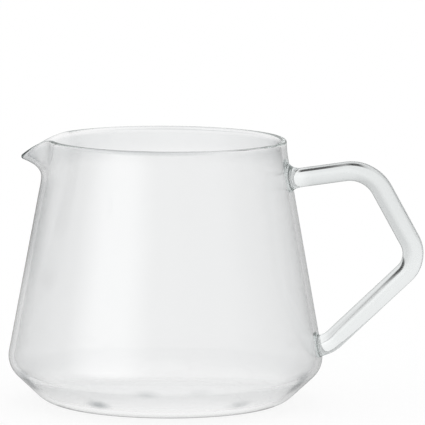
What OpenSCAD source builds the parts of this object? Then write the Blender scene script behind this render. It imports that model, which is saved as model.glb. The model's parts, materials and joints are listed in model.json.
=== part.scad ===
// Glass coffee server: a blown conical body with a drawn spout, and a bent glass bar fused on as its handle.
// The origin is on the body's axis at the table. +X points to the handle, -X to the spout, and +Z up.

/* [Body] */
// Outer diameter at the widest ring
belly_d = 115; // [108:0.5:124]
// Height of the widest ring above the table
belly_z = 17.1; // [15.5:0.1:20]
// Radius that rounds the widest ring
belly_round = 9; // [7:0.5:11]
// Height of the rim above the table
body_h = 97; // [92:0.5:110]
// Distance that the rim stands in from the widest ring
rim_inset = 13.75; // [11:0.25:17]
// Radius of the curve that turns the cone upright below the rim
rim_flare = 30; // [20:1:50]
// Thickness of the blown wall
wall_t = 2; // [1.5:0.1:2.5]

/* [Base] */
// Distance that the edge of the flat foot stands in from the widest ring
foot_inset = 19; // [16.5:0.5:23]
// Radius of the heel between the foot and the chamfer above it
heel_round = 12.6; // [9:0.1:14]
// Thickness of the floor
floor_t = 2; // [1.5:0.1:3]
// Diameter of the shallow punt, which lifts the middle of the floor
punt_d = 56; // [40:1:66]
// Height of the punt at its centre
punt_h = 0.5; // [0.3:0.1:1.2]

/* [Spout] */
// Angle on each side of the spout's middle that it takes out of the rim
spout_half_angle = 25; // [18:1:32]
// Distance that the lip's outer edge reaches out beyond the rim
spout_reach = 9.6; // [6:0.1:13]
// Distance that the tip hangs below the rim
spout_droop = 7.8; // [5:0.1:9.5]
// Height of wall that is drawn out into the spout
spout_h = 19; // [15:0.5:24]

/* [Handle] */
// Diameter of the glass bar at the grip and the lower arm
bar_d = 7.6; // [6.5:0.1:9]
// Diameter of the upper arm, which is drawn a little thinner
upper_arm_d = 7; // [6:0.1:8.5]
// Drop from the rim to where the upper arm leaves the wall
upper_root_drop = 13.6; // [12:0.1:18]
// Drop from the rim to the upper corner of the bar's centre line
upper_corner_drop = 8.8; // [7:0.1:14]
// Distance from the rim out to the upper corner
upper_arm_reach = 31.2; // [26:0.1:40]
// Height of the grip's lower corner above the table
grip_corner_z = 55.5; // [48:0.5:62]
// Distance from the widest ring out to the grip's lower corner
grip_reach = 36; // [32:0.5:44]
// Height above the widest ring at which the lower arm meets the wall
lower_root_rise = 5.3; // [4.5:0.1:9]
// Centre line radius of the bend at the upper corner
upper_bend_r = 13; // [9:0.5:15]
// Centre line radius of the bend at the grip's lower corner
lower_bend_r = 10; // [8:0.5:12]

/* [Handle welds] */
// Length of the glass gathered between the wall and the upper arm
upper_weld_l = 5; // [4:0.1:6.5]
// Width that the upper weld gains on each side where it meets the wall
upper_weld_flare = 2; // [0.6:0.1:2.6]
// Distance from the wall, square to it, at which the lower weld turns up into the lower arm
lower_weld_l = 3.5; // [3:0.1:4.5]

/* [Hidden] */

// Colours of the clear wall and of the solid bar, which looks a little denser
wall_colour = [0.86, 0.9, 0.89, 0.45];
bar_colour = [0.8, 0.86, 0.84, 0.7];

$fn = 96;
// Overrun of every cut past the glass that it removes
cut = belly_d / 5;
// Steps along one arc of an outline, and along and across the spout
arc_steps = 12;
lip_steps = 6;
spout_rows = 14;
spout_columns = 36;
// Steps along one bend of the bar, and sides of its section
bend_steps = 10;
bar_sides = 32;
// Share of a step used to measure the slope of the spout's skin
slope_share = 0.001;
// Powers that set how late up the wall the spout leans out and hangs down
lean_rise_share = 2.5;
droop_rise_share = 1.2;
// Powers that set how sharply the lean and the droop gather at the spout's middle
lean_width_share = 2;
droop_width_share = 2.5;

rim_d = belly_d - 2 * rim_inset;
foot_d = belly_d - 2 * foot_inset;
// Middle of the rounded rim edge
edge_z = body_h - wall_t / 2;
spout_z = body_h - spout_h;
spout_a = 180;
far = belly_d + grip_reach;

// Points of an arc about c, from angle a to angle b
function arc(c, r, a, b, n = arc_steps) = [for (i = [0:n]) c + r * direction(a + (b - a) * i / n)];
function direction(a) = [cos(a), sin(a)];
function angle(v) = atan2(v[1], v[0]);
function backwards(points) = [for (i = [len(points) - 1:-1:0]) points[i]];

// The outline of one skin of the body runs round three circles, at the heel, the widest ring and the rim.
// The outer skin has t = 0 and its floor at z = 0, and the inner skin has t = wall_t and its floor at floor_t.
function heel_c(t, z) = [foot_d / 2, z + heel_round - t];
belly_c = [belly_d / 2 - belly_round, belly_z];
flare_c = [rim_d / 2 + rim_flare, edge_z];

// Outward angles at which the chamfer and the cone leave the belly circle, as straight tangents
function chamfer_a(t, z) = let (v = belly_c - heel_c(t, z)) angle(v) - acos((heel_round - belly_round) / norm(v));
cone_a = let (v = flare_c - belly_c) angle(v) - acos((belly_round + rim_flare) / norm(v));

// The skin below the widest ring, from the foot up, and the skin above it, up to the rim
function lower_skin(t, z) = concat(
    arc(heel_c(t, z), heel_round - t, -90, chamfer_a(t, z)),
    arc(belly_c, belly_round - t, chamfer_a(t, z), 0));
function upper_skin(t) = concat(
    arc(belly_c, belly_round - t, 0, cone_a),
    arc(flare_c, rim_flare + t, 180 + cone_a, 180));

// Outer radius of the wall at a height between the belly and the rim
flare_start_z = flare_c[1] - rim_flare * sin(cone_a);
function cone_r(z) = (belly_round - (z - belly_z) * sin(cone_a)) / cos(cone_a) + belly_c[0];
function flare_r(z) = flare_c[0] - sqrt(pow(rim_flare, 2) - pow(edge_z - z, 2));
function wall_r(z) = z < flare_start_z ? cone_r(z) : flare_r(z);

// The punt is a cap of a large sphere, which lifts both skins of the floor
punt_r = (pow(punt_d / 2, 2) + pow(punt_h, 2)) / (2 * punt_h);
function punt(z) = arc([0, z + punt_h - punt_r], punt_r, 90, 90 - asin(punt_d / 2 / punt_r));

// Everything inside the outer skin, which cuts the welds to fit the wall
module envelope() {
    rotate_extrude() polygon(concat([[0, 0]], lower_skin(0, 0), upper_skin(0), [[0, edge_z]]));
}

// The blown wall from the widest ring to the rounded rim, open where the spout is drawn out
module body_wall() {
    rim = arc([rim_d / 2 - wall_t / 2, edge_z], wall_t / 2, 0, 180);
    color(wall_colour)
        difference() {
            rotate_extrude() polygon(concat(upper_skin(0), rim, backwards(upper_skin(wall_t))));
            translate([0, 0, spout_z]) linear_extrude(spout_h + cut)
                polygon([[0, 0], for (side = [-1, 1]) far * direction(spout_a + side * spout_half_angle)]);
        }
}

// The floor, heel and chamfer, up to the widest ring
module base() {
    color(wall_colour)
        rotate_extrude()
            polygon(concat(
                punt(0), lower_skin(0, 0), backwards(lower_skin(wall_t, floor_t)), backwards(punt(floor_t))));
}

// A point of the spout's outer skin. Along u from -1 to 1 it goes round from one side to the other, and
// along s from 0 to 1 it goes up. The wall leans out and hangs down by shares that vanish at the sides.
function spout_point(u, s) =
    let (
        a = spout_a + u * spout_half_angle,
        z = spout_z + s * (edge_z - spout_z),
        fade = abs(cos(90 * u)),
        lean = spout_reach * pow(fade, lean_width_share) * pow(s, lean_rise_share),
        droop = spout_droop * pow(fade, droop_width_share) * pow(s, droop_rise_share),
        r = wall_r(z) + lean
    )
    [r * cos(a), r * sin(a), z - droop];

// Unit vectors up along the skin and square out of it, both from small steps
function unit(v) = v / norm(v);
function up_skin(u, s) = unit(spout_point(u, s + slope_share) - spout_point(u, s));
function out_of_skin(u, s) =
    unit(cross(up_skin(u, s), spout_point(u - slope_share, s) - spout_point(u + slope_share, s)));

// The inner skin lies one wall inwards, and at the bottom the step slides to stay level with the cut wall
function inward(u, s) =
    let (up = up_skin(u, s), out = out_of_skin(u, s), level = pow(1 - s, 2))
    out - level * out[2] / up[2] * up;

// One section of the spout: up the outer skin, round the lip's edge and down the inner skin
function spout_section(u) =
    let (
        outer = [for (i = [0:spout_rows]) spout_point(u, i / spout_rows)],
        inner = [for (i = [0:spout_rows]) outer[i] - wall_t * inward(u, i / spout_rows)],
        top = 1 - slope_share,
        middle = (outer[spout_rows] + inner[spout_rows]) / 2,
        lip = [for (i = [1:lip_steps - 1]) let (a = 180 * i / lip_steps)
            middle + wall_t / 2 * (cos(a) * out_of_skin(u, top) + sin(a) * up_skin(u, top))]
    )
    concat(outer, lip, backwards(inner));

// The drawn spout, which carries the wall's thickness out to a rounded, hanging lip
module spout() {
    sections = [for (j = [0:spout_columns]) spout_section(2 * j / spout_columns - 1)];
    n = len(sections[0]);
    last = spout_columns * n;
    skins = [for (j = [0:spout_columns - 1], k = [0:n - 1]) let (a = j * n + k, b = j * n + (k + 1) % n)
        each [[a, b, a + n], [b, b + n, a + n]]];
    sides = [for (k = [0:floor(n / 2) - 1]) let (a = k, b = k + 1, c = n - 2 - k, d = n - 1 - k)
        each [[a, d, b], if (b != c) [b, d, c], [last + a, last + b, last + d],
            if (b != c) [last + b, last + c, last + d]]];
    color(wall_colour)
        polyhedron([for (section = sections) each section], concat(skins, sides));
}

// The bar's centre line in the XZ plane: a root on the wall at each end, two corners and the lower weld's turn
upper_root = [wall_r(body_h - upper_root_drop), body_h - upper_root_drop];
upper_corner = [rim_d / 2 + upper_arm_reach, body_h - upper_corner_drop];
grip_corner = [belly_d / 2 + grip_reach, grip_corner_z];
lower_root = [wall_r(belly_z + lower_root_rise), belly_z + lower_root_rise];
lower_corner = lower_root + lower_weld_l * direction(cone_a);
upper_a = angle(upper_corner - upper_root);
grip_a = angle(grip_corner - upper_corner);
lower_a = angle(grip_corner - lower_corner);
upper_turn = upper_a - grip_a;
lower_turn = grip_a - lower_a + 180;

// Stations along the bar are places on the centre line, each with its direction and the bar's diameter there.
// A bend turns clockwise from direction a, and the diameter changes evenly along it, from d to e.
function bend(corner, a, turn, r, d, e) =
    let (c = corner - r * tan(turn / 2) * direction(a) + r * direction(a - 90))
    [for (i = [0:bend_steps]) let (share = i / bend_steps, b = a - turn * share)
        [c + r * direction(b + 90), b, d + (e - d) * share]];
bar_stations = concat(
    [[upper_root + upper_weld_l * direction(upper_a), upper_a, upper_arm_d]],
    bend(upper_corner, upper_a, upper_turn, upper_bend_r, upper_arm_d, bar_d),
    bend(grip_corner, grip_a, lower_turn, lower_bend_r, bar_d, bar_d),
    [[lower_corner + lower_weld_l * direction(lower_a), lower_a - 180, bar_d]]);

// The round section of the bar at a station
function bar_ring(station) =
    let (p = station[0], r = station[2] / 2, out = r * direction(station[1] + 90))
    [for (k = [0:bar_sides - 1]) let (b = 360 * k / bar_sides)
        [p[0] + out[0] * cos(b), r * sin(b), p[1] + out[1] * cos(b)]];

// The bent bar between the two welds, with its ends square to its centre line
module handle() {
    n = bar_sides;
    last = (len(bar_stations) - 1) * n;
    skin = [for (j = [0:len(bar_stations) - 2], k = [0:n - 1]) let (a = j * n + k, b = j * n + (k + 1) % n)
        each [[a, b, a + n], [b, b + n, a + n]]];
    ends = [for (k = [1:n - 2]) each [[0, k + 1, k], [last, last + k, last + k + 1]]];
    color(bar_colour)
        polyhedron([for (station = bar_stations) each bar_ring(station)], concat(skin, ends));
}

// Glass gathered between the wall and the upper arm, flared in a hollow curve and cut to fit the cone
module upper_handle_weld() {
    curve = [for (i = [0:arc_steps]) let (s = i / arc_steps)
        [upper_arm_d / 2 + upper_weld_flare * pow(1 - s, 2), s * upper_weld_l]];
    foot = [upper_arm_d / 2 + upper_weld_flare, -upper_arm_d];
    color(bar_colour)
        difference() {
            translate([upper_root[0], 0, upper_root[1]]) rotate([0, 90 - upper_a, 0]) rotate_extrude()
                polygon(concat([[0, foot[1]], foot], curve, [[0, upper_weld_l]]));
            envelope();
        }
}

// The bar's lower end, which leaves the wall square to it, turns up into the lower arm and is cut to fit the cone
module lower_handle_weld() {
    turn = lower_a - cone_a;
    r = lower_weld_l / tan(turn / 2);
    sunk = turn / 2;
    c = lower_root + r * direction(cone_a + 90);
    color(bar_colour)
        difference() {
            translate([c[0], 0, c[1]]) rotate([90, 0, 0]) rotate([0, 0, cone_a - 90 - sunk])
                rotate_extrude(angle = turn + sunk) translate([r, 0]) circle(d = bar_d);
            envelope();
        }
}

body_wall();
base();
spout();
handle();
upper_handle_weld();
lower_handle_weld();
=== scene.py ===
"""A clear glass coffee server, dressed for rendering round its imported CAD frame.

Two seamless glass pieces stand for the plain solids: the blown body with its drawn spout, and the bent bar
that is fused on as its handle. Lengths are in metres and angles in radians. +Z is up, +X points to the
handle and -X to the spout.
"""

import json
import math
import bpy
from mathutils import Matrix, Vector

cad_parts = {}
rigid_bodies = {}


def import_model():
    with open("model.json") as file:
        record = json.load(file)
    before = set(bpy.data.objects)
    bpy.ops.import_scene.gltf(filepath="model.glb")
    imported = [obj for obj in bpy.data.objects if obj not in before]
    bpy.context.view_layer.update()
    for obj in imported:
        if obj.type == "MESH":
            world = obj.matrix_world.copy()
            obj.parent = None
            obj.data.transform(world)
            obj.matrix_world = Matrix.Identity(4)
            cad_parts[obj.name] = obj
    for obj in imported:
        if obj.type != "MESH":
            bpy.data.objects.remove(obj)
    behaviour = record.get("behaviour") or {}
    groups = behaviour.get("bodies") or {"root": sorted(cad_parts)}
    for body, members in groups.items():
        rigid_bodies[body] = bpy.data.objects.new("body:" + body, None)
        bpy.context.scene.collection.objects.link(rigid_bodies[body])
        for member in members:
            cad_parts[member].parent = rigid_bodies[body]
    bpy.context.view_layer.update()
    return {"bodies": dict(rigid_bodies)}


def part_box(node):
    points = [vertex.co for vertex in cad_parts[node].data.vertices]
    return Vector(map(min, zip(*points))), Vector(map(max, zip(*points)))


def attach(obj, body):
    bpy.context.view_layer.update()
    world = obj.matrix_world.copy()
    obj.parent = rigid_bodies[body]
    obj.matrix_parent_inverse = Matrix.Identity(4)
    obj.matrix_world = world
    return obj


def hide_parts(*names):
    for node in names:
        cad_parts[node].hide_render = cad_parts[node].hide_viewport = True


bl_info = {
    "name": "Coffee Server",
    "version": (1, 0, 0),
    "blender": (4, 5, 0),
    "location": "View3D > Sidebar > Coffee Server",
    "description": "Blows a glass coffee server, fuses its bar handle on and lights it on a pale floor",
    "category": "Add Mesh",
}

import bpy
import numpy as np
from bpy.props import FloatProperty, FloatVectorProperty, PointerProperty
from mathutils import Matrix, Vector

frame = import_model()
BODY = next(iter(frame["bodies"]))

MM = 0.001
wall_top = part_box("body_wall")[1]
base_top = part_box("base")[1]

# The photo's camera stands round from -Y, and the studio's strip light stands at its left. These ways point
# to the camera's right, level away from it, and to the strip light, a little above level
CAMERA_AZIMUTH, STRIP_AZIMUTH = math.radians(10), math.radians(35)
RIGHT_WAY = (math.cos(CAMERA_AZIMUTH), math.sin(CAMERA_AZIMUTH), 0)
BACK_WAY = (-math.sin(CAMERA_AZIMUTH), math.cos(CAMERA_AZIMUTH), 0)
STRIP_WAY = (-math.sin(STRIP_AZIMUTH), -math.cos(STRIP_AZIMUTH), 0.2)
WHITE = (1, 1, 1, 1)

# Painted shade: soft dark spots low on the outer skin, where dark things in the studio show in the foot: the
# angle round the body in degrees, the height in millimetres and the strength of the painted shade
PAINTED_SHADE_SPOTS = ((-109.2, 5.3, 4.6), (-47.3, 5.5, 2.3), (-87, 11, 1.8), (-67.5, 11.8, 0.9))
PAINTED_SPOT_HALF_WIDTH, PAINTED_SPOT_HALF_HEIGHT = 6.5 * MM, 2.4 * MM

# Steps of the body's skins, from the middle of the floor up to the spout's foot
PUNT_STEPS, FOOT_STEPS, HEEL_STEPS, CHAMFER_STEPS, BELT_STEPS, CONE_STEPS = 12, 5, 18, 9, 22, 16
# Rows up the spout and over the lip, and columns round the body at the spout and elsewhere
SPOUT_ROWS, LIP_ROWS, SPOUT_COLUMNS, WALL_COLUMNS = 41, 13, 96, 192
# Stations along the bar between its welds and along each weld, and columns round it
BAR_STATIONS, WELD_STATIONS, BAR_COLUMNS = 300, 17, 72
# Rings of the caps that close the bar inside the wall, as shares of the way in to the pole
CAP_SHARES = (0, 0.35, 0.7)
SHARP_ANGLE = math.radians(50)


def linear(hex_colour):
    """The linear colour of an sRGB hex colour: over 0.04045 it is ((c + 0.055) / 1.055) to the power 2.4."""
    srgb = [int(hex_colour[i : i + 2], 16) / 255 for i in (1, 3, 5)]
    return tuple(c / 12.92 if c <= 0.04045 else ((c + 0.055) / 1.055) ** 2.4 for c in srgb)


def length(name, description, default, low, high):
    """A length property in metres, given in millimetres."""
    return FloatProperty(
        name=name,
        description=description,
        default=default * MM,
        min=low * MM,
        max=high * MM,
        unit="LENGTH",
        precision=5,
    )


def colour(name, description, default):
    """A colour property, given as an sRGB hex colour."""
    return FloatVectorProperty(
        name=name, description=description, subtype="COLOR", default=linear(default), min=0, max=1
    )


def share_of_painted_shade(name, description, default):
    """A property from 0 to 1 for the strength of the grey painted shade."""
    return FloatProperty(
        name=name, description=description, default=default, min=0, max=1, subtype="FACTOR"
    )


class BlownBody(bpy.types.PropertyGroup):
    """Sizes of the blown body, the same as the CAD's."""

    widest_d: length("Widest ring", "Outer diameter at the widest ring", 2 * wall_top.x / MM, 100, 130)
    widest_z: length("Widest ring height", "Height of the widest ring", base_top.z / MM, 14, 22)
    widest_round: length("Widest ring rounding", "Radius that rounds the widest ring", 9, 6, 12)
    height: length("Height", "Height of the rim", wall_top.z / MM, 80, 120)
    rim_inset: length("Rim inset", "How far the rim stands in from the widest ring", 13.75, 10, 18)
    rim_flare: length("Rim curve", "Radius of the curve that turns the cone upright at the rim", 30, 15, 60)
    wall: length("Wall", "Thickness of the blown wall", 2, 1.2, 3)
    foot_inset: length("Foot inset", "How far the foot's edge stands in from the widest ring", 19, 16, 24)
    heel_round: length("Heel", "Radius of the heel", 12.6, 9, 15)
    floor: length("Floor", "Thickness of the floor", 2, 1.5, 4)
    punt_d: length("Punt", "Diameter of the shallow punt, which lifts the middle of the floor", 56, 30, 66)
    punt_h: length("Punt height", "Height of the punt at its centre", 0.5, 0.2, 1.5)
    spout_half_angle: FloatProperty(
        name="Spout half angle",
        description="Angle on each side of the spout's middle that it takes out of the rim",
        default=math.radians(25),
        min=math.radians(15),
        max=math.radians(35),
        subtype="ANGLE",
    )
    spout_reach: length("Spout reach", "How far the lip reaches out beyond the rim", 9.6, 5, 14)
    spout_droop: length("Spout droop", "How far the tip hangs below the rim", 7.8, 4, 10)
    spout_h: length("Spout height", "Height of wall that is drawn out into the spout", 19, 14, 26)


class GlassBar(bpy.types.PropertyGroup):
    """Sizes of the glass bar that is bent and fused on as the handle."""

    bar_d: length("Bar", "Diameter at the grip and the lower arm", 7.6, 6, 9)
    upper_arm_d: length("Upper arm", "Diameter of the upper arm", 7, 5.5, 9)
    upper_root_drop: length("Upper root drop", "Drop from the rim to the upper root", 13.6, 11, 20)
    upper_corner_drop: length("Upper corner drop", "Drop from the rim to the upper corner", 8.8, 6, 15)
    upper_arm_reach: length("Upper arm reach", "Distance from the rim out to the upper corner", 31.2, 25, 40)
    grip_corner_z: length("Grip corner height", "Height of the grip's lower corner", 55.5, 45, 65)
    grip_reach: length("Grip reach", "Distance from the widest ring out to the grip's corner", 36, 30, 45)
    lower_root_rise: length("Lower root rise", "Height of the lower root above the widest ring", 5.3, 4, 9)
    upper_bend_r: length("Upper bend", "Centre line radius of the upper bend", 13, 9, 16)
    lower_bend_r: length("Lower bend", "Centre line radius of the grip's bend", 10, 8, 12)
    lower_weld_l: length("Lower weld", "Distance square to the wall before the lower arm turns up", 3.5, 3, 5)
    upper_fillet_l: length("Upper fillet length", "Length of the glass gathered at the upper weld", 4.4, 2, 6)
    upper_fillet_top: length("Upper fillet top", "Width that the upper weld gains on top", 4.1, 1, 5)
    upper_fillet_side: length("Upper fillet side", "Width that the upper weld gains at its sides", 0.6, 0, 3)
    upper_fillet_bottom: length("Upper fillet bottom", "Width that the upper weld gains below", 1.5, 0.5, 4)
    lower_fillet_l: length("Lower fillet length", "Length of the glass gathered at the lower weld", 2.2, 1, 4)
    lower_fillet_top: length("Lower fillet top", "Width that the lower weld gains on top", 1.5, 0.3, 3)
    lower_fillet_side: length("Lower fillet side", "Width that the lower weld gains at its sides", 0.4, 0, 2)
    lower_fillet_bottom: length("Lower fillet bottom", "Width that the lower weld gains below", 0.5, 0, 2)


class GlassLooks(bpy.types.PropertyGroup):
    """Colours of the glass and of the stage."""

    body_tint: colour("Body tint", "Light that the blown wall lets pass", "#ffffff")
    bar_tint: colour("Bar tint", "Light that the bar lets pass", "#f8fafa")
    # Painted shade: strength and tint of a grey coat that stands in for the studio's dark surroundings seen
    # in the glass
    body_painted_shade: share_of_painted_shade("Body painted shade", "Strength of the grey painted shade on the blown body", 0.18)
    bar_painted_shade: share_of_painted_shade("Bar painted shade", "Strength of the grey painted shade on the bar", 0.45)
    body_painted_shade_tint: colour("Body painted shade tint", "Light that the body's painted shade lets pass", "#d8dadb")
    bar_painted_shade_tint: colour("Bar painted shade tint", "Light that the bar's painted shade lets pass", "#dedfdf")
    glass_depth: colour("Depth of glass", "Colour that the thickness of the glass adds", "#dfe9e6")
    floor_colour: colour("Floor", "Colour of the floor", "#ffffff")


def arc(centre, radius, start, end, steps):
    """Points of an arc: the centre plus the radius times the cosine and sine of evenly spaced angles."""
    a = np.linspace(start, end, steps + 1)
    return np.asarray(centre) + radius * np.stack([np.cos(a), np.sin(a)], axis=1)


def line(start, end, steps):
    """Evenly spaced points of a straight line, its start left out."""
    share = np.linspace(0, 1, steps + 1)[1:, None]
    return np.asarray(start) * (1 - share) + np.asarray(end) * share


def eased(values, start, end):
    """0 before start, 1 after end, and 3 t t - 2 t t t between, where t goes evenly from 0 to 1."""
    t = np.clip((values - start) / (end - start), 0, 1)
    return t * t * (3 - 2 * t)


def eased_band(values, start, full, fading, end):
    """0 before start and after end, 1 from full to fading, and eased from the one to the other."""
    return eased(values, start, full) * (1 - eased(values, fading, end))


def unit(v):
    """Vectors divided by their lengths."""
    return v / np.linalg.norm(v, axis=-1, keepdims=True)


class Outline:
    """The body's outline in the half plane of radius and height: three circles and the tangents between them.

    A tangent leaves the widest circle at the direction to the other centre, less the angle whose cosine is
    the difference of the two radii (or their sum, where it crosses over) divided by the distance between the
    centres. The cone's angle is that of its outward normal, above level.
    """

    def __init__(self, body):
        self.body = body
        self.widest = np.array([body.widest_d / 2 - body.widest_round, body.widest_z])
        self.edge_z = body.height - body.wall / 2
        self.rim_r = body.widest_d / 2 - body.rim_inset
        self.flare = np.array([self.rim_r + body.rim_flare, self.edge_z])
        to_flare = self.flare - self.widest
        self.cone_a = math.atan2(to_flare[1], to_flare[0]) - math.acos(
            (body.widest_round + body.rim_flare) / np.hypot(*to_flare)
        )
        self.flare_start_z = self.flare[1] - body.rim_flare * math.sin(self.cone_a)
        self.spout_z = body.height - body.spout_h

    def wall_radius(self, z):
        """Outer radius of the wall at a height: the cone's straight line, then the curve below the rim."""
        body = self.body
        rise = z - self.widest[1]
        cone = self.widest[0] + (body.widest_round - rise * math.sin(self.cone_a)) / math.cos(self.cone_a)
        drop = np.clip(self.edge_z - z, -body.rim_flare, body.rim_flare)
        return np.where(z < self.flare_start_z, cone, self.flare[0] - np.sqrt(body.rim_flare**2 - drop**2))

    def wall_point(self, z):
        """The point of the outline at a height on the wall."""
        return np.array([float(self.wall_radius(np.array(z))), z])

    def skin_below_spout(self, inset, floor_z):
        """Points of a skin from the foot up to the spout's foot: heel, chamfer, widest ring and cone."""
        body = self.body
        heel = np.array([body.widest_d / 2 - body.foot_inset, floor_z + body.heel_round - inset])
        to_widest = self.widest - heel
        chamfer_a = math.atan2(to_widest[1], to_widest[0]) - math.acos(
            (body.heel_round - body.widest_round) / np.hypot(*to_widest)
        )
        lower = arc(heel, body.heel_round - inset, -math.pi / 2, chamfer_a, HEEL_STEPS)
        belt = arc(self.widest, body.widest_round - inset, chamfer_a, self.cone_a, BELT_STEPS)
        cone_top = self.wall_point(self.spout_z) - (inset / math.cos(self.cone_a), 0)
        cone = line(belt[-1], cone_top, CONE_STEPS)
        return np.concatenate([lower, line(lower[-1], belt[0], CHAMFER_STEPS)[:-1], belt, cone])


def revolve(profile, a):
    """A profile of radius and height turned to each angle: radius times cosine, radius times sine, height."""
    r, z = profile[:, :1], profile[:, 1:]
    return np.stack([r * np.cos(a), r * np.sin(a), z + 0 * a], axis=2)


def spout_skin(outline, a, s):
    """The wall above the spout's foot, at angle a and share s of the height.

    It is the plain wall, leaned out by the reach times the square of a cosine that fades to the spout's sides
    times s to the power 2.5, and lowered by the droop times that cosine to the power 2.5 times s to the power
    1.2.
    """
    body = outline.body
    u = (a - math.pi) / body.spout_half_angle
    fade = np.where(np.abs(u) < 1, np.abs(np.cos(np.pi / 2 * u)), 0)
    z = outline.spout_z + s * (outline.edge_z - outline.spout_z)
    r = outline.wall_radius(z) + body.spout_reach * fade**2 * s**2.5
    return np.stack([r * np.cos(a), r * np.sin(a), z - body.spout_droop * fade**2.5 * s**1.2], axis=-1)


def body_surface(body):
    """The blown body's closed skin: a grid of profile rows and angle columns, its two poles and its painted
    shade.

    Rows run up the outer skin, over the rounded lip and down the inner skin. The inner skin lies one wall
    inwards along the outer skin's normal, which comes from small steps in the height and the angle. At the
    spout's foot the way in is level, to meet the cone below, and it turns to the normal with the square of
    1 - s. The lip is half a circle on the line between the two skins: middle plus half a wall times (cosine
    of b outwards plus sine of b upwards).
    """
    outline = Outline(body)
    half, small = body.spout_half_angle, 1e-4
    at_spout = np.linspace(math.pi - half, math.pi + half, SPOUT_COLUMNS, endpoint=False)
    elsewhere = np.linspace(math.pi + half, 3 * math.pi - half, WALL_COLUMNS, endpoint=False)
    a = np.concatenate([at_spout, elsewhere])
    foot_r, punt_r = body.widest_d / 2 - body.foot_inset, body.punt_d / 2
    share = np.linspace(0, 1, PUNT_STEPS + 1)[1:]
    punt = np.stack([punt_r * share, body.punt_h * (1 - share**2)], axis=1)
    foot = line([punt_r, 0], [foot_r, 0], FOOT_STEPS)[:-1]
    outside = np.concatenate([punt, foot, outline.skin_below_spout(0, 0)[:-1]])
    inside = outline.skin_below_spout(body.wall, body.floor)[:-1]
    floor = (np.concatenate([punt, foot]) + (0, body.floor))[::-1]

    s = np.linspace(0, 1, SPOUT_ROWS)[:, None]
    outer = spout_skin(outline, a[None], s)
    up = unit(spout_skin(outline, a[None], s + small) - outer)
    round_skin = spout_skin(outline, a[None] + small, s) - spout_skin(outline, a[None] - small, s)
    out = unit(np.cross(round_skin, up))
    level = ((1 - s) ** 2)[..., None]
    inner = outer - body.wall * (out - level * out[..., 2:] / up[..., 2:] * up)
    middle = (outer[-1] + inner[-1]) / 2
    b = np.linspace(0, math.pi, LIP_ROWS + 2)[1:-1, None, None]
    lip = middle + body.wall / 2 * (np.cos(b) * out[-1] + np.sin(b) * up[-1])

    outer_rows = [revolve(outside, a), outer, lip]
    inner_rows = [inner[::-1], revolve(inside[::-1], a), revolve(floor, a)]
    grid = np.concatenate(outer_rows + inner_rows)
    # The rows' shares of the lip start a little below it on both skins
    near_lip = eased(s, 0.93, 1)
    lip_shares = np.concatenate([near_lip, np.ones((LIP_ROWS, 1)), near_lip[::-1]])
    on_lip = np.pad(lip_shares, ((len(outside), len(inside) + len(floor)), (0, 0)))
    on_inside = (np.arange(len(grid)) >= sum(len(rows) for rows in outer_rows))[:, None]
    poles = ((0, 0, body.punt_h), (0, 0, body.punt_h + body.floor))
    return grid, *poles, body_painted_shade(outline, grid, on_lip, on_inside)


def body_painted_shade(outline, grid, on_lip, on_inside):
    """How much grey painted shade each place of the body's skin gets, where 1 is the outer skin of the cone.

    The painted shade is a grey coat tint that stands in for the studio's dark surroundings seen in the glass.
    The floor gets little, and it grows over the heel. The inner skin gets less than the outer, but much more
    close below the rim. The lip is nearly clear where it lies along the sight, and darkest where it lies
    across, at the front and a little less at the back. The drawn spout gets more, most of all on its outer
    skin. The outer skin also gets painted shade where dark things in the studio show in it: a dark streak on
    the chamfer near each side's outline, a dark band along the left outline below the spout, and soft dark
    spots in the foot, each an ellipse that fades outwards.
    """
    body, z, radius = outline.body, grid[..., 2], np.hypot(grid[..., 0], grid[..., 1])
    # Where each change starts and ends: heights, distances from the axis, and shares of the radius to a side
    heel_z, rim_z = (3 * MM, 10 * MM), (0.85 * body.height, 0.95 * body.height)
    streak_z, streak_aside = (6 * MM, 9 * MM, 13 * MM, 16 * MM), (0.845, 0.89, 0.895, 0.955)
    band_z, band_aside = (36 * MM, 64 * MM, 80 * MM, 86 * MM), (0.86, 0.97)
    spout_x, spout_z = (43 * MM, 50 * MM), (body.height - 26 * MM, body.height - 10 * MM)

    # Painted shade: a little on the floor, growing over the heel, less on the inner skin and much more there
    # below the rim
    floor_painted_shade, above_heel, lost_inside, below_rim = 0.2, 1, 0.3, 1.6
    painted_shade = floor_painted_shade + (above_heel - lost_inside * on_inside) * eased(z, *heel_z)
    painted_shade += below_rim * on_inside * eased(z, *rim_z)

    # Painted shade on the lip: nearly none along the sight, darkest across it at the front and a little less
    # at the back
    lip_loss, lip_across, lip_front = 0.8, 2, 1.5
    ahead = -grid[..., 1] / outline.rim_r
    across_sight = lip_across * ahead**4 + lip_front * np.clip(ahead, 0, 1) ** 4
    painted_shade *= 1 - lip_loss * on_lip + on_lip**4 * across_sight

    # Painted shade where dark things in the studio show: a streak on the chamfer near each side's outline, a
    # band along the left outline and soft dark spots in the foot
    on_outside, streak_painted_shade, streak_shift = 1 - on_inside, 1.9, 0.6 * MM
    rightwards = grid[..., :2] @ RIGHT_WAY[:2]
    streak = eased_band(np.abs(rightwards + streak_shift) / radius, *streak_aside)
    painted_shade += streak_painted_shade * on_outside * streak * eased_band(z, *streak_z)
    painted_shade += on_outside * eased(-rightwards / radius, *band_aside) * eased_band(z, *band_z)
    around = np.arctan2(grid[..., 1], grid[..., 0])
    for angle, height, strength in PAINTED_SHADE_SPOTS:
        apart = (around - math.radians(angle) + math.pi) % (2 * math.pi) - math.pi
        off = np.hypot(apart * radius / PAINTED_SPOT_HALF_WIDTH, (z - height * MM) / PAINTED_SPOT_HALF_HEIGHT)
        painted_shade += strength * on_outside * (1 - eased(off, 0, 1))

    # More painted shade on the drawn spout, most of all on its outer skin
    spout_painted_shade, spout_loss_inside = 2, 1.5
    on_spout = eased(-grid[..., 0], *spout_x) * eased(z, *spout_z)
    return painted_shade + on_spout * (spout_painted_shade - spout_loss_inside * on_inside + on_lip)


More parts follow.
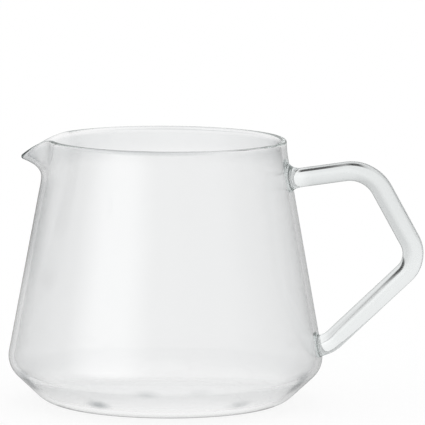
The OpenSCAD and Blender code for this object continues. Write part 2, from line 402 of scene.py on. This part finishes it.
def bar_line(bar, outline):
    """The bar's centre line in the XZ plane: a function of the distance along it, and where its pieces start.

    Legs run between corners, and an arc tangent to both legs rounds each corner. Along an arc of curvature k
    the direction angle is a + k d, and the place is the start plus 1 / k times (sin(a + k d) - sin a, cos a -
    cos(a + k d)). The starts are the distances at which each straight and arc begins, and the last is the
    whole length.
    """
    body = outline.body
    lower_root = outline.wall_point(body.widest_z + bar.lower_root_rise)
    square = np.array([math.cos(outline.cone_a), math.sin(outline.cone_a)])
    corners = [
        outline.wall_point(body.height - bar.upper_root_drop),
        np.array([outline.rim_r + bar.upper_arm_reach, body.height - bar.upper_corner_drop]),
        np.array([body.widest_d / 2 + bar.grip_reach, bar.grip_corner_z]),
        lower_root + bar.lower_weld_l * square,
        lower_root,
    ]
    legs = [end - start for start, end in zip(corners, corners[1:])]
    leg_angles = [math.atan2(leg[1], leg[0]) for leg in legs]
    turns = [(b - a + math.pi) % (2 * math.pi) - math.pi for a, b in zip(leg_angles, leg_angles[1:])]
    radii = [bar.upper_bend_r, bar.lower_bend_r, bar.lower_weld_l / math.tan(abs(turns[2]) / 2)]
    setbacks = [0, *[r * math.tan(abs(turn) / 2) for r, turn in zip(radii, turns)], 0]
    starts, places, angles, curvatures = [0.0], [corners[0]], [], []
    for i, (leg, a) in enumerate(zip(legs, leg_angles)):
        straight = np.hypot(*leg) - setbacks[i] - setbacks[i + 1]
        angles.append(a)
        curvatures.append(0.0)
        starts.append(starts[-1] + straight)
        places.append(places[-1] + straight * leg / np.hypot(*leg))
        if i < len(turns):
            b, k = a + turns[i], math.copysign(1 / radii[i], turns[i])
            angles.append(a)
            curvatures.append(k)
            starts.append(starts[-1] + radii[i] * abs(turns[i]))
            places.append(places[-1] + np.array([math.sin(b) - math.sin(a), math.cos(a) - math.cos(b)]) / k)
    starts, places, angles, curvatures = (np.array(v) for v in (starts, places, angles, curvatures))

    def at(d):
        """The places at some distances and the direction angles there."""
        i = np.clip(np.searchsorted(starts, d, side="right") - 1, 0, len(angles) - 1)
        along, a, k = d - starts[i], angles[i], curvatures[i]
        bent = np.where(k == 0, 1, k)
        turned = a + k * along
        arc_step = np.stack([np.sin(turned) - np.sin(a), np.cos(a) - np.cos(turned)], axis=1) / bent[:, None]
        straight_step = along[:, None] * np.stack([np.cos(a), np.sin(a)], axis=1)
        return places[i] + np.where((k == 0)[:, None], straight_step, arc_step), turned

    return at, starts


def onto_wall(outline, points, way, depth):
    """Points slid along a direction until they lie a depth inside the outer skin.

    Each round moves a point back by its own radius less the wall's radius at its height and plus the depth.
    """
    rounds = 12
    for _ in range(rounds):
        gap = np.hypot(points[..., 0], points[..., 1]) - outline.wall_radius(points[..., 2]) + depth
        points = points - gap[..., None] * way
    return points


def bar_surface(bar, body):
    """The bar's closed skin: a grid of stations and angles round the bar, its two poles and its painted
    shade.

    A ring is the centre line's place plus the bar's radius times (cosine of b across the bend, minus sine of
    b along Y). The radius grows from the upper arm's to the grip's round the upper bend. At a weld it gains a
    fillet of a quarter ellipse: its width times (1 - cos t), at a distance of its length times (1 - sin t)
    from the wall. The width goes from the sides' to the top's or the bottom's with the square of the cosine
    of b. The weld's rings follow the wall's curve, and the bar ends half a wall deep in the wall.
    """
    outline = Outline(body)
    at, starts = bar_line(bar, outline)
    bend_start, bend_end, total = starts[1], starts[2], starts[-1]
    t = np.linspace(math.pi / 2, 0, WELD_STATIONS)
    near, far = bar.upper_fillet_l * (1 - np.sin(t)), total - bar.lower_fillet_l * (1 - np.sin(t))
    middle = np.linspace(near[-1], far[-1], BAR_STATIONS)[1:-1]
    d = np.concatenate([near, middle, far[::-1]])
    centre, angle = at(d)
    b = np.linspace(0, 2 * math.pi, BAR_COLUMNS, endpoint=False)
    thin, thick = bar.upper_arm_d / 2, bar.bar_d / 2
    round_bend = np.clip((d - bend_start) / (bend_end - bend_start), 0, 1)
    radius = (thin + (thick - thin) * round_bend)[:, None] + 0 * b
    # At b = 0 is the outer side of the bends: the top of the upper arm and the under side of the lower arm
    outer, inner = np.clip(np.cos(b), 0, 1) ** 2, np.clip(-np.cos(b), 0, 1) ** 2
    sides = 1 - outer - inner
    upper = bar.upper_fillet_top * outer + bar.upper_fillet_bottom * inner + bar.upper_fillet_side * sides
    lower = bar.lower_fillet_top * inner + bar.lower_fillet_bottom * outer + bar.lower_fillet_side * sides
    upper_t = np.concatenate([t, np.zeros(len(d) - len(t))])[:, None]
    lower_t = upper_t[::-1]
    radius += upper * (1 - np.cos(upper_t)) + lower * (1 - np.cos(lower_t))

    across = np.stack([-np.sin(angle), np.zeros(len(angle)), np.cos(angle)], axis=1)[:, None]
    spine = np.stack([centre[:, 0], np.zeros(len(d)), centre[:, 1]], axis=1)[:, None]
    offset = np.cos(b)[:, None] * across - np.sin(b)[:, None] * np.array([0, 1, 0])
    grid = spine + radius[..., None] * offset
    rings, poles = [grid], []
    for end, way, bend_t in ((0, 1, upper_t), (-1, -1, lower_t)):
        outwards = way * np.array([math.cos(angle[end]), 0, math.sin(angle[end])])
        slide = onto_wall(outline, grid[end], outwards, 0) - grid[end]
        grid += (np.sin(bend_t) ** 2)[..., None] * slide
        pole = spine[end, 0] - body.wall / 2 * outwards
        edge = onto_wall(outline, grid[end], outwards, body.wall / 2)
        cap = [edge + share * (pole - edge) for share in CAP_SHARES]
        rings = [np.array(cap[::-1]), *rings] if end == 0 else [*rings, np.array(cap)]
        poles.append(pole)
    return np.concatenate(rings), *poles, bar_painted_shade(d, total - d, centre[:, 1], outer)


def bar_painted_shade(from_upper, from_lower, height, outer):
    """How much grey painted shade each place of the bar's skin gets.

    It is full but near the two ends, where it fades, and a little stronger on the upper half. The under side
    of the lower arm gets hardly any, and the caps in the wall get none.
    """
    # Where each change starts and ends: distances from the ends, heights, distances from the lower end
    end_d, upper_z, lower_arm_d = (2 * MM, 9 * MM), (45 * MM, 75 * MM), (40 * MM, 60 * MM)
    # Painted shade on the bar: faint near the welds, stronger up high, and hardly any under the lower arm
    end_painted_shade, low_painted_shade, high_gain, under_loss = 0.05, 0.75, 0.4, 0.95
    painted_shade = end_painted_shade + (1 - end_painted_shade) * eased(np.minimum(from_upper, from_lower), *end_d)
    painted_shade *= low_painted_shade + high_gain * eased(height, *upper_z)
    lower_arm = 1 - eased(from_lower, *lower_arm_d)
    painted_shade = painted_shade[:, None] * (1 - under_loss * lower_arm[:, None] * outer)
    return np.pad(painted_shade, ((len(CAP_SHARES), len(CAP_SHARES)), (0, 0)))


def skin_mesh(name, grid, first_pole, last_pole, painted_shade):
    """A closed mesh from a grid of rows that each go once round, with a pole at each end.

    A quad joins the points of two rows at two columns, and a fan of triangles joins each end's row to its
    pole. The mesh has a UV map in grid steps, and the painted shade's share at each point as an attribute.
    """
    rows, columns = grid.shape[:2]
    points = np.concatenate([grid.reshape(-1, 3), [first_pole, last_pole]])
    i, j = np.meshgrid(np.arange(rows - 1), np.arange(columns), indexing="ij")
    this_row, next_row, after_j = i * columns, (i + 1) * columns, (j + 1) % columns
    quads = np.stack([this_row + j, this_row + after_j, next_row + after_j, next_row + j], axis=-1)
    ring = np.arange(columns)
    after = (ring + 1) % columns
    first, last, top = rows * columns, rows * columns + 1, (rows - 1) * columns
    fans = np.concatenate(
        [
            np.stack([np.full(columns, first), after, ring], axis=1),
            np.stack([top + ring, top + after, np.full(columns, last)], axis=1),
        ]
    )
    mesh = bpy.data.meshes.new(name)
    mesh.from_pydata(points.tolist(), [], quads.reshape(-1, 4).tolist() + fans.tolist())
    u = np.stack([j, j + 1, j + 1, j], axis=-1).reshape(-1) / columns
    v = np.stack([i, i, i + 1, i + 1], axis=-1).reshape(-1) / (rows - 1)
    fan_u = [np.stack([ring + 0.5, ring + 1, ring], axis=1), np.stack([ring, ring + 1, ring + 0.5], axis=1)]
    u = np.concatenate([u, *(f.reshape(-1) / columns for f in fan_u)])
    v = np.concatenate([v, np.zeros(3 * columns), np.ones(3 * columns)])
    uv = np.stack([u, v], axis=1).ravel().astype(np.float32)
    mesh.uv_layers.new(name="skin").data.foreach_set("uv", uv)
    # Each point's share of the painted shade goes in as an attribute
    shares = np.concatenate([painted_shade.ravel(), [painted_shade[0, 0], painted_shade[-1, 0]]]).astype(np.float32)
    mesh.attributes.new("painted_shade", "FLOAT", "POINT").data.foreach_set("value", shares)
    mesh.validate()
    mesh.shade_smooth()
    mesh.set_sharp_from_angle(angle=SHARP_ANGLE)
    return mesh


def add_piece(name, mesh, material, nodes):
    """Puts a finished mesh into the scene as a piece that rides on the body and stands for CAD nodes."""
    piece = bpy.data.objects.new(name, mesh)
    bpy.context.scene.collection.objects.link(piece)
    mesh.materials.append(material)
    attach(piece, BODY)
    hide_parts(*nodes)


def add_node(tree, kind, inputs=None, links=None, **settings):
    """Adds a node, gives it its settings and plain inputs, and links the sockets that feed it."""
    node = tree.nodes.new(kind)
    for key, value in settings.items():
        setattr(node, key, value)
    for key, value in (inputs or {}).items():
        node.inputs[key].default_value = value
    for key, socket in (links or {}).items():
        tree.links.new(socket, node.inputs[key])
    return node


def fill_ramp(node, stops):
    """Gives a colour ramp its greys, as pairs of a position and a level."""
    elements = node.color_ramp.elements
    while len(elements) > 1:
        elements.remove(elements[-1])
    for n, (position, level) in enumerate(stops):
        element = elements[0] if n == 0 else elements.new(position)
        element.position = position
        element.color = (level, level, level, 1)


def glass(name, tint, painted_shade, painted_shade_tint, depth_tint, stretch, wave, wave_depth):
    """Borosilicate glass, fire polished: clear, with slow waves of the given length that its making left.

    A grey coat tint greys light that enters, the more slantwise the more: it is painted shade that stands in
    for the studio's dark surroundings seen in the glass. The piece's own attribute times the strength says
    how much of it each place gets. Light that is inside already goes free. The depth's colour is what light
    keeps on its way through the glass, and it shows only where the way is long.
    """
    ior, depth_density = 1.47, 4
    material = bpy.data.materials.new(name)
    material.use_nodes = True
    tree = material.node_tree
    tree.nodes.clear()
    place = add_node(tree, "ShaderNodeTexCoord")
    drawn = add_node(tree, "ShaderNodeMapping", {"Scale": stretch}, {"Vector": place.outputs["Object"]})
    waves = add_node(
        tree,
        "ShaderNodeTexNoise",
        {"Scale": 1 / wave, "Detail": 2, "Roughness": 0.4},
        {"Vector": drawn.outputs["Vector"]},
    )
    bump = add_node(
        tree, "ShaderNodeBump", {"Strength": 1, "Distance": wave_depth}, {"Height": waves.outputs["Fac"]}
    )
    # Painted shade: each place's share of the grey coat tint comes from the piece's attribute
    share = add_node(tree, "ShaderNodeAttribute", attribute_name="painted_shade")
    side = add_node(tree, "ShaderNodeNewGeometry")
    entered = add_node(
        tree, "ShaderNodeMapRange", {"To Min": painted_shade, "To Max": 0}, {"Value": side.outputs["Backfacing"]}
    )
    weight = add_node(
        tree,
        "ShaderNodeMath",
        links={0: share.outputs["Fac"], 1: entered.outputs["Result"]},
        operation="MULTIPLY",
    )
    surface = add_node(
        tree,
        "ShaderNodeBsdfPrincipled",
        {
            "Base Color": (*tint, 1),
            "Roughness": 0,
            "IOR": ior,
            "Transmission Weight": 1,
            "Coat Roughness": 0,
            "Coat IOR": 1,
            "Coat Tint": (*painted_shade_tint, 1),
        },
        {"Normal": bump.outputs["Normal"], "Coat Weight": weight.outputs[0]},
    )
    inside = add_node(
        tree, "ShaderNodeVolumeAbsorption", {"Color": (*depth_tint, 1), "Density": depth_density}
    )
    add_node(
        tree,
        "ShaderNodeOutputMaterial",
        links={"Surface": surface.outputs["BSDF"], "Volume": inside.outputs["Volume"]},
    )
    return material


class COFFEE_OT_blown_body(bpy.types.Operator):
    """Blow the body: foot, heel, cone, rounded rim and drawn spout in one seamless skin"""

    bl_idname = "coffee_server.blown_body"
    bl_label = "Blown Body"

    def execute(self, context):
        body, looks = context.scene.blown_body, context.scene.glass_looks
        # Blown borosilicate: slow upright waves about 16 mm wide and a few hundredths of a millimetre deep,
        # which make what is seen through the wall swim a little, as glass blown on a turning mould does
        waves = {"stretch": (1, 1, 0.3), "wave": 16 * MM, "wave_depth": 0.03 * MM}
        # Painted shade of the body: the strength and the tint of its grey coat
        painted_shade = (looks.body_painted_shade, looks.body_painted_shade_tint)
        material = glass("blown_borosilicate", looks.body_tint, *painted_shade, looks.glass_depth, **waves)
        mesh = skin_mesh("blown_body", *body_surface(body))
        add_piece("blown_body", mesh, material, ("body_wall", "base", "spout"))
        return {"FINISHED"}


class COFFEE_OT_glass_bar(bpy.types.Operator):
    """Bend the bar and fuse it on: upper arm, grip, lower arm and both welds in one seamless skin"""

    bl_idname = "coffee_server.glass_bar"
    bl_label = "Glass Bar Handle"

    def execute(self, context):
        scene, looks = context.scene, context.scene.glass_looks
        # Drawn borosilicate bar: faint waves about 9 mm long, the same every way because the bar turns, which
        # break the long bright lines of the solid rod
        waves = {"stretch": (1, 1, 1), "wave": 9 * MM, "wave_depth": 0.02 * MM}
        # Painted shade of the bar: the strength and the tint of its grey coat
        painted_shade = (looks.bar_painted_shade, looks.bar_painted_shade_tint)
        material = glass("drawn_borosilicate", looks.bar_tint, *painted_shade, looks.glass_depth, **waves)
        mesh = skin_mesh("glass_handle", *bar_surface(scene.glass_bar, scene.blown_body))
        nodes = ("handle", "upper_handle_weld", "lower_handle_weld")
        add_piece("glass_handle", mesh, material, nodes)
        return {"FINISHED"}


def studio_world():
    """White for the camera, and for the floor that it lights.

    Through the glass, the studio is white round the horizon, a little less so overhead and below, and its
    dark sides show at the far left and at the right. In the glass, it is mirrored as a grey room with a white
    ceiling and a soft strip light at the camera's left, whose glow falls off from its middle.
    """
    world = bpy.data.worlds.new("pale_studio")
    bpy.context.scene.world = world
    world.use_nodes = True
    world.cycles.sampling_method = "NONE"
    tree = world.node_tree
    tree.nodes.clear()
    place = add_node(tree, "ShaderNodeTexCoord")
    axes = add_node(tree, "ShaderNodeSeparateXYZ", links={"Vector": place.outputs["Generated"]})
    path = add_node(tree, "ShaderNodeLightPath")
    level = add_node(tree, "ShaderNodeMapRange", {"From Min": -1}, {"Value": axes.outputs["Z"]})
    heights = add_node(tree, "ShaderNodeValToRGB", links={"Fac": level.outputs["Result"]})
    fill_ramp(heights, [(0, 0.95), (0.3, 1), (0.5, 1), (0.6, 0.97), (0.8, 0.93), (1, 0.9)])
    right = add_node(
        tree,
        "ShaderNodeVectorMath",
        {1: RIGHT_WAY},
        {0: place.outputs["Generated"]},
        operation="DOT_PRODUCT",
    )
    turned = add_node(tree, "ShaderNodeMapRange", {"From Min": -1}, {"Value": right.outputs["Value"]})
    side_tone = add_node(tree, "ShaderNodeValToRGB", links={"Fac": turned.outputs["Result"]})
    left_side = [(0, 0.75), (0.05, 0.78), (0.1, 1), (0.53, 1)]
    fill_ramp(side_tone, [*left_side, (0.64, 0.82), (0.75, 0.84), (0.88, 0.96), (0.95, 0.78), (1, 0.75)])
    # The floor hides the sides from below, where the ways through the foot lead
    above_floor = add_node(
        tree,
        "ShaderNodeMapRange",
        {"From Min": -0.6, "From Max": -0.42},
        {"Value": axes.outputs["Z"]},
        interpolation_type="SMOOTHSTEP",
    )
    # Sockets 6 and 7 and output 2 are the colour ones
    sides = add_node(
        tree,
        "ShaderNodeMix",
        {6: WHITE},
        {0: above_floor.outputs["Result"], 7: side_tone.outputs["Color"]},
        data_type="RGBA",
    )
    through = add_node(
        tree,
        "ShaderNodeVectorMath",
        links={0: heights.outputs["Color"], 1: sides.outputs[2]},
        operation="MULTIPLY",
    )
    mirrored = add_node(tree, "ShaderNodeValToRGB", links={"Fac": level.outputs["Result"]})
    fill_ramp(mirrored, [(0, 0.5), (0.4, 0.42), (0.5, 0.4), (0.62, 0.42), (0.8, 0.6), (1, 1)])
    white = add_node(tree, "ShaderNodeBackground", {"Color": WHITE})
    seen_through = add_node(tree, "ShaderNodeBackground", links={"Color": through.outputs[0]})
    room = add_node(tree, "ShaderNodeBackground", links={"Color": mirrored.outputs["Color"]})
    strip = add_node(
        tree,
        "ShaderNodeVectorMath",
        {1: STRIP_WAY},
        {0: place.outputs["Generated"]},
        operation="DOT_PRODUCT",
    )
    strip_edge, strip_fall, strip_level = math.cos(math.radians(36)), 1.5, 2.6
    near = add_node(tree, "ShaderNodeMapRange", {"From Min": strip_edge}, {"Value": strip.outputs["Value"]})
    soft = add_node(tree, "ShaderNodeMath", {1: strip_fall}, {0: near.outputs["Result"]}, operation="POWER")
    bright = add_node(tree, "ShaderNodeMath", {1: strip_level}, {0: soft.outputs[0]}, operation="MULTIPLY")
    strip_light = add_node(tree, "ShaderNodeBackground", {"Color": WHITE}, {"Strength": bright.outputs[0]})
    seen_in = add_node(tree, "ShaderNodeAddShader", links={0: room.outputs[0], 1: strip_light.outputs[0]})
    # A ray that has passed the glass counts as glossy too, so what is seen through it goes on top
    white_or_mirrored = add_node(
        tree,
        "ShaderNodeMixShader",
        links={0: path.outputs["Is Glossy Ray"], 1: white.outputs[0], 2: seen_in.outputs[0]},
    )
    all_rays = add_node(
        tree,
        "ShaderNodeMixShader",
        links={
            0: path.outputs["Is Transmission Ray"],
            1: white_or_mirrored.outputs[0],
            2: seen_through.outputs[0],
        },
    )
    add_node(tree, "ShaderNodeOutputWorld", links={"Surface": all_rays.outputs[0]})


def pale_floor(floor_rgb):
    """A floor that takes the object's shadow, and most of its own light so that it stays near white.

    Glass sees past it, at the white round it, but for a dark board that lies flat behind the object and runs
    off to the right. The board's long edges and its left end are soft, it is fainter in its middle, and it
    shows only to rays that come down at a middle slope: these are the ones that the bar and the heel bend to
    it.
    """
    half_side, own_light, board_light = 3.0, 0.88, 0.05
    mesh = bpy.data.meshes.new("floor")
    corners = [(x * half_side, y * half_side, 0) for x, y in ((-1, -1), (1, -1), (1, 1), (-1, 1))]
    mesh.from_pydata(corners, [], [(0, 1, 2, 3)])
    floor = bpy.data.objects.new("floor", mesh)
    bpy.context.scene.collection.objects.link(floor)
    material = bpy.data.materials.new("pale_floor")
    material.use_nodes = True
    tree = material.node_tree
    tree.nodes.clear()
    path = add_node(tree, "ShaderNodeLightPath")
    matt = add_node(tree, "ShaderNodeBsdfDiffuse", {"Color": (*floor_rgb, 1)})
    clear = add_node(tree, "ShaderNodeBsdfTransparent")
    board = add_node(tree, "ShaderNodeEmission", {"Color": WHITE, "Strength": board_light})
    place = add_node(tree, "ShaderNodeTexCoord")
    away, across = (
        add_node(
            tree, "ShaderNodeVectorMath", {1: way}, {0: place.outputs["Object"]}, operation="DOT_PRODUCT"
        )
        for way in (BACK_WAY, RIGHT_WAY)
    )
    # The first ramp's positions are metres behind the object
    board_depth = add_node(tree, "ShaderNodeValToRGB", links={"Fac": away.outputs["Value"]})
    fill_ramp(board_depth, [(0.06, 0), (0.08, 1), (0.13, 1), (0.155, 0)])
    board_depth.color_ramp.interpolation = "EASE"
    along = add_node(
        tree, "ShaderNodeMapRange", {"From Min": -0.1, "From Max": 0.2}, {"Value": across.outputs["Value"]}
    )
    board_length = add_node(tree, "ShaderNodeValToRGB", links={"Fac": along.outputs["Result"]})
    left_end = [(0.47, 0.1), (0.5, 0.3), (0.53, 1)]
    fill_ramp(board_length, [*left_end, (0.565, 1), (0.6, 0.38), (0.7, 0.38), (0.735, 1)])
    ray = add_node(tree, "ShaderNodeNewGeometry")
    slope = add_node(tree, "ShaderNodeSeparateXYZ", links={"Vector": ray.outputs["Incoming"]})
    steep = add_node(tree, "ShaderNodeValToRGB", links={"Fac": slope.outputs["Z"]})
    fill_ramp(steep, [(0.22, 0), (0.36, 1), (0.68, 1), (0.78, 0)])
    dark = add_node(
        tree,
        "ShaderNodeMath",
        links={0: board_depth.outputs["Color"], 1: board_length.outputs["Color"]},
        operation="MULTIPLY",
    )
    shown = add_node(
        tree, "ShaderNodeMath", links={0: dark.outputs[0], 1: steep.outputs["Color"]}, operation="MULTIPLY"
    )
    past = add_node(
        tree, "ShaderNodeMixShader", links={0: shown.outputs[0], 1: clear.outputs[0], 2: board.outputs[0]}
    )
    by_glass = add_node(
        tree,
        "ShaderNodeMath",
        links={0: path.outputs["Is Transmission Ray"], 1: path.outputs["Is Glossy Ray"]},
        operation="MAXIMUM",
    )
    glow = add_node(tree, "ShaderNodeEmission", {"Color": WHITE, "Strength": 1})
    lit = add_node(tree, "ShaderNodeMixShader", {0: own_light}, {1: matt.outputs[0], 2: glow.outputs[0]})
    seen = add_node(
        tree,
        "ShaderNodeMixShader",
        links={0: path.outputs["Is Camera Ray"], 1: matt.outputs[0], 2: lit.outputs[0]},
    )
    both = add_node(
        tree, "ShaderNodeMixShader", links={0: by_glass.outputs[0], 1: seen.outputs[0], 2: past.outputs[0]}
    )
    add_node(tree, "ShaderNodeOutputMaterial", links={"Surface": both.outputs[0]})
    mesh.materials.append(material)


def photo_camera():
    """A long lens, as fitted to the photograph, that looks slightly down, with the handle turned towards it.

    The target is a point on the body's axis, and the camera is aimed so that it lands on its pixel.
    """
    image_side, sensor_width = 425, 36
    elevation, roll = math.radians(7.792), math.radians(0.382)
    distance, pixels_per_metre = 2.0657, 2732
    target, target_pixel = Vector((0, 0, 0.045)), Vector((166.02, 279.78))
    right, level = Vector(RIGHT_WAY), math.cos(elevation)
    back = Vector((-BACK_WAY[0] * level, -BACK_WAY[1] * level, math.sin(elevation)))
    up = back.cross(right)
    from_target = (Vector((image_side / 2, image_side / 2)) - target_pixel) / pixels_per_metre
    x, y = from_target.x, -from_target.y
    rolled_x = x * math.cos(roll) - y * math.sin(roll)
    rolled_y = x * math.sin(roll) + y * math.cos(roll)
    aim = target + right * rolled_x + up * rolled_y
    camera = bpy.data.objects.new("camera", bpy.data.cameras.new("camera"))
    camera.data.sensor_width = sensor_width
    camera.data.lens = distance * pixels_per_metre * sensor_width / image_side
    place = target + back * distance
    axis = (place - aim).normalized()
    side = up.cross(axis).normalized()
    turned = Matrix((side, axis.cross(side), axis)).transposed()
    camera.matrix_world = Matrix.Translation(place) @ turned.to_4x4() @ Matrix.Rotation(roll, 4, "Z")
    camera.data.clip_start, camera.data.clip_end = 0.1, 20
    bpy.context.scene.collection.objects.link(camera)
    bpy.context.scene.camera = camera


class COFFEE_OT_stage(bpy.types.Operator):
    """Lay the pale floor and set up the studio light and the camera"""

    bl_idname = "coffee_server.stage"
    bl_label = "Stage"

    def execute(self, context):
        scene = context.scene
        studio_world()
        pale_floor(scene.glass_looks.floor_colour)
        photo_camera()
        scene.view_settings.view_transform = "Standard"
        # Light goes round many times inside thick clear glass before it leaves
        bounces = 160
        scene.cycles.max_bounces = scene.cycles.transmission_bounces = scene.cycles.glossy_bounces = bounces
        return {"FINISHED"}


class COFFEE_PT_server(bpy.types.Panel):
    """Sizes, colours and operators of the coffee server"""

    bl_label = "Coffee Server"
    bl_idname = "COFFEE_PT_server"
    bl_space_type = "VIEW_3D"
    bl_region_type = "UI"
    bl_category = "Coffee Server"

    def draw(self, context):
        for group in (context.scene.blown_body, context.scene.glass_bar, context.scene.glass_looks):
            box = self.layout.box()
            for name in group.__annotations__:
                box.prop(group, name)
        for operator in OPERATORS:
            self.layout.operator(operator.bl_idname)


GROUPS = {"blown_body": BlownBody, "glass_bar": GlassBar, "glass_looks": GlassLooks}
OPERATORS = (COFFEE_OT_blown_body, COFFEE_OT_glass_bar, COFFEE_OT_stage)


def register():
    for group in GROUPS.values():
        bpy.utils.register_class(group)
    for name, group in GROUPS.items():
        setattr(bpy.types.Scene, name, PointerProperty(type=group))
    for cls in (*OPERATORS, COFFEE_PT_server):
        bpy.utils.register_class(cls)


def unregister():
    for cls in (COFFEE_PT_server, *OPERATORS):
        bpy.utils.unregister_class(cls)
    for name, group in GROUPS.items():
        delattr(bpy.types.Scene, name)
        bpy.utils.unregister_class(group)


def main():
    """Builds the pieces and the stage."""
    register()
    bpy.ops.coffee_server.blown_body()
    bpy.ops.coffee_server.glass_bar()
    bpy.ops.coffee_server.stage()


if __name__ == "__main__":
    main()
